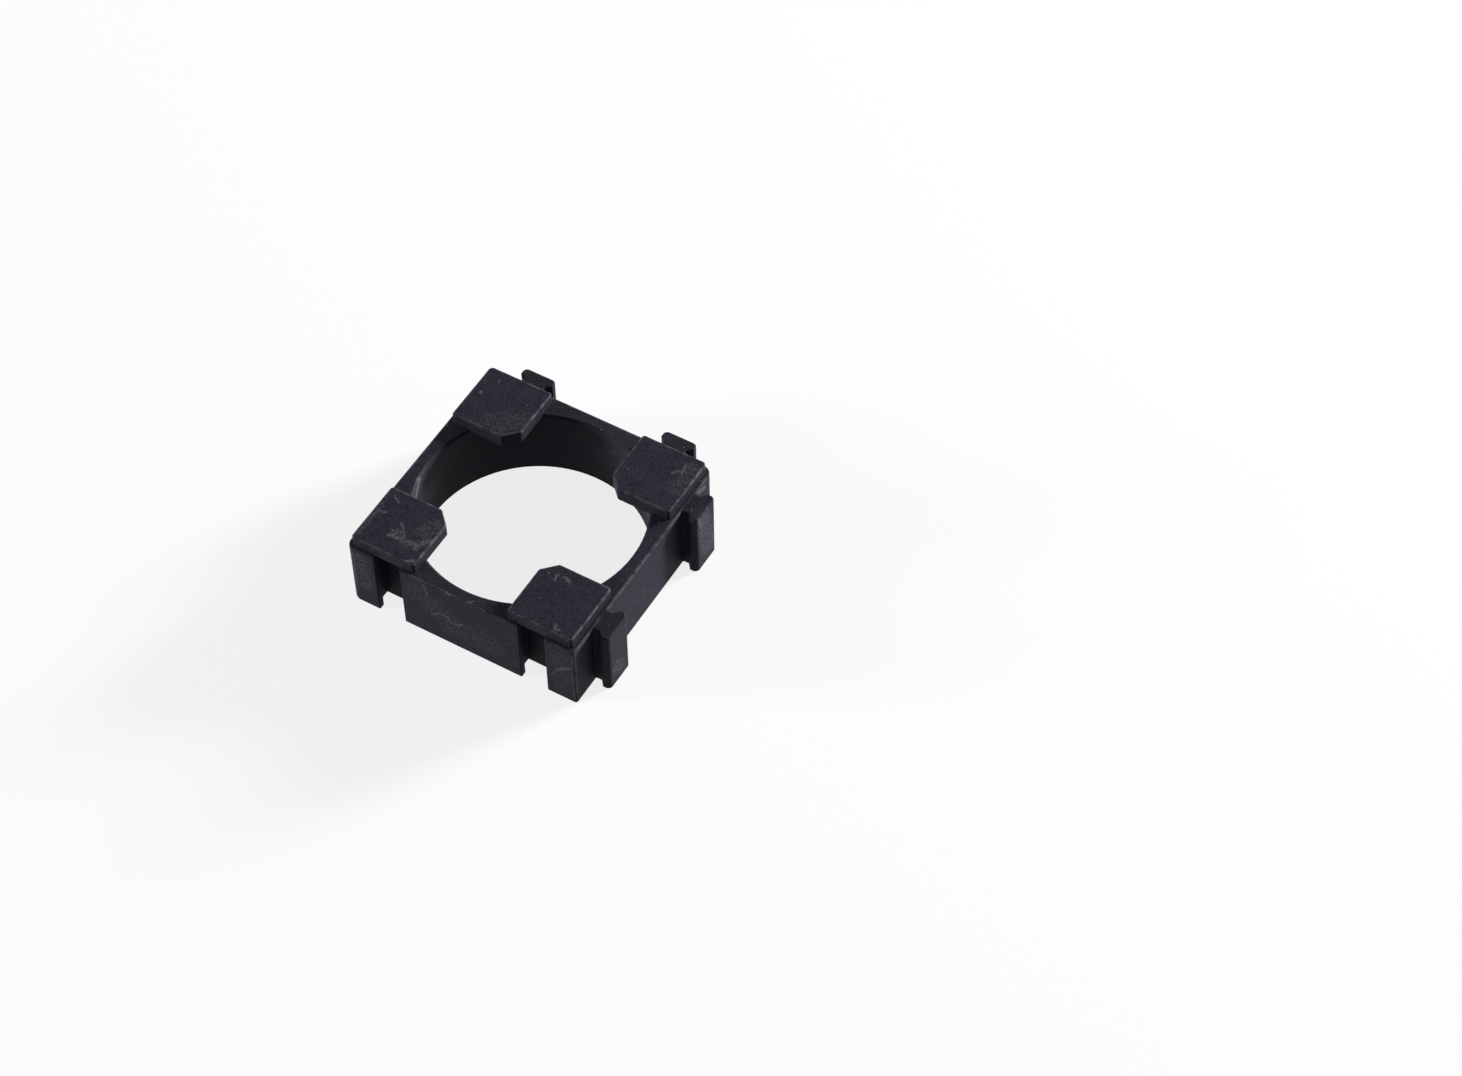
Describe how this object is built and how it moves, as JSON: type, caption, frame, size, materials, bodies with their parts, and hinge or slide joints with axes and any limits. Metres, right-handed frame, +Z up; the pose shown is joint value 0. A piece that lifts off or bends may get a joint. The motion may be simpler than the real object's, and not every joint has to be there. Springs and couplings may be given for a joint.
{
  "type": "battery cell holder bracket",
  "caption": "Square moulded ring that holds one cylindrical cell upright under corner lips and joins identical brackets side by side.",
  "frame": {"origin": "on the bore axis, in the plane of the flat underside", "axes": "+Z up along the bore towards the corner lips; the tongues stand on the +X and +Y walls, the slots are in the -X and -Y walls"},
  "size_m": [0.0222, 0.0222, 0.0072],
  "materials": {
    "moulding": "fine matte moulded surface, black with a cool cast, lightly scuffed"
  },
  "bodies": {
    "root": {"cell_bracket": "moulding"}
  },
  "joints": []
}
